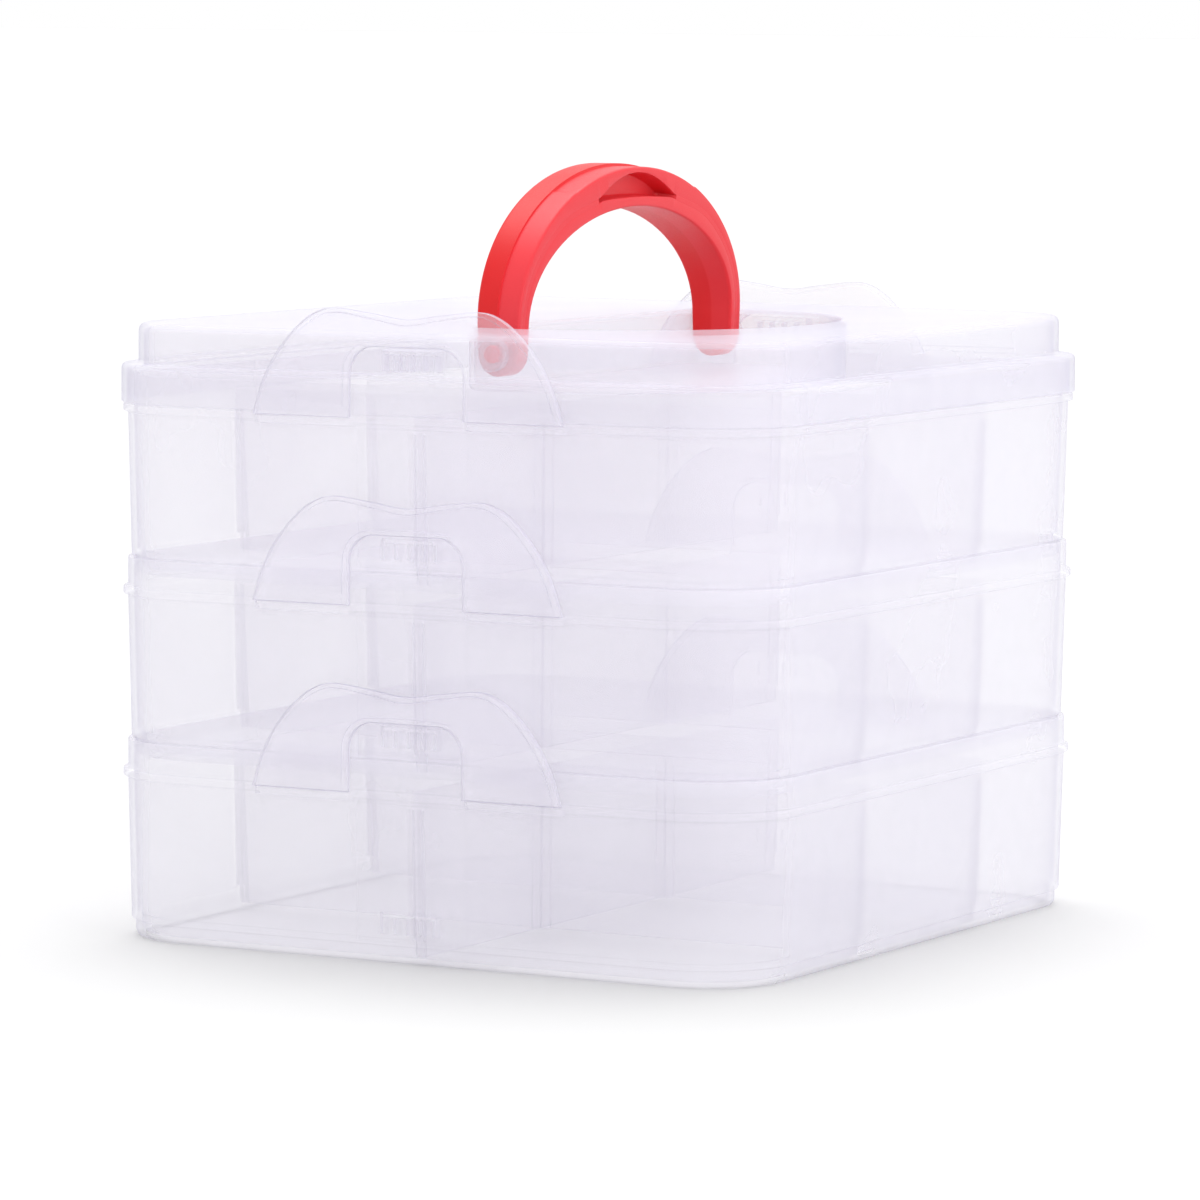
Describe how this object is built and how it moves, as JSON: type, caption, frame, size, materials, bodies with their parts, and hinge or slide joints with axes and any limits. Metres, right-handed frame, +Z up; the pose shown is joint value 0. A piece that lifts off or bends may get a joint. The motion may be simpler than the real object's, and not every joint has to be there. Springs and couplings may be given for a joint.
{
  "type": "stacking art supply box",
  "caption": "Clear plastic stacking craft box with divided trays, flap latches and a lid with a folding carry handle.",
  "frame": {"origin": "centre of the box on the plane it stands on", "axes": "+Z up through the stack, -Y the front side with latches (the back has latches too), X across, handle arch in the YZ plane"},
  "size_m": [0.2512, 0.2726, 0.258],
  "materials": {
    "clear_tray": "clear polypropylene, slightly milky",
    "clear_lid": "clear polypropylene, slightly milky",
    "clear_latch": "clear polypropylene, polished edges",
    "clear_divider": "clear polypropylene sheet, lightly frosted",
    "red_handle": "opaque red polypropylene, satin"
  },
  "bodies": {
    "bottom_tray": {"tray_bottom": "clear_tray", "divider_bottom_long_front": "clear_divider", "divider_bottom_long_back": "clear_divider", "divider_bottom_cross_front": "clear_divider", "divider_bottom_cross_middle": "clear_divider", "divider_bottom_cross_back": "clear_divider"},
    "latch_bottom_front": {"latch_bottom_front": "clear_latch"},
    "latch_bottom_back": {"latch_bottom_back": "clear_latch"},
    "middle_tray": {"tray_middle": "clear_tray", "divider_middle_long_front": "clear_divider", "divider_middle_long_back": "clear_divider", "divider_middle_cross_front": "clear_divider", "divider_middle_cross_middle": "clear_divider", "divider_middle_cross_back": "clear_divider"},
    "latch_middle_front": {"latch_middle_front": "clear_latch"},
    "latch_middle_back": {"latch_middle_back": "clear_latch"},
    "top_tray": {"tray_top": "clear_tray", "divider_top_long_front": "clear_divider", "divider_top_long_back": "clear_divider", "divider_top_cross_front": "clear_divider", "divider_top_cross_middle": "clear_divider", "divider_top_cross_back": "clear_divider"},
    "latch_top_front": {"latch_top_front": "clear_latch"},
    "latch_top_back": {"latch_top_back": "clear_latch"},
    "lid": {"lid": "clear_lid"},
    "handle": {"handle": "red_handle"}
  },
  "joints": [
    {"name": "latch_bottom_front_hinge", "type": "hinge", "parent": "bottom_tray", "child": "latch_bottom_front", "pos_m": [0, -0.1354, 0.05615], "axis": [1, 0, 0], "range_deg": [0, 90]},
    {"name": "latch_bottom_back_hinge", "type": "hinge", "parent": "bottom_tray", "child": "latch_bottom_back", "pos_m": [0, 0.1354, 0.05615], "axis": [-1, 0, 0], "range_deg": [0, 90]},
    {"name": "latch_middle_front_hinge", "type": "hinge", "parent": "middle_tray", "child": "latch_middle_front", "pos_m": [0, -0.1354, 0.11715], "axis": [1, 0, 0], "range_deg": [0, 90]},
    {"name": "latch_middle_back_hinge", "type": "hinge", "parent": "middle_tray", "child": "latch_middle_back", "pos_m": [0, 0.1354, 0.11715], "axis": [-1, 0, 0], "range_deg": [0, 90]},
    {"name": "latch_top_front_hinge", "type": "hinge", "parent": "top_tray", "child": "latch_top_front", "pos_m": [0, -0.1354, 0.17815], "axis": [1, 0, 0], "range_deg": [0, 90]},
    {"name": "latch_top_back_hinge", "type": "hinge", "parent": "top_tray", "child": "latch_top_back", "pos_m": [0, 0.1354, 0.17815], "axis": [-1, 0, 0], "range_deg": [0, 90]},
    {"name": "middle_tray_lift", "type": "slide", "parent": "bottom_tray", "child": "middle_tray", "axis": [0, 0, 1], "range_m": [0, 0.1]},
    {"name": "top_tray_lift", "type": "slide", "parent": "middle_tray", "child": "top_tray", "axis": [0, 0, 1], "range_m": [0, 0.1]},
    {"name": "lid_lift", "type": "slide", "parent": "top_tray", "child": "lid", "axis": [0, 0, 1], "range_m": [0, 0.1]},
    {"name": "handle_fold", "type": "hinge", "parent": "lid", "child": "handle", "pos_m": [0.002, 0, 0.197], "axis": [0, 1, 0], "range_deg": [0, 90]}
  ]
}
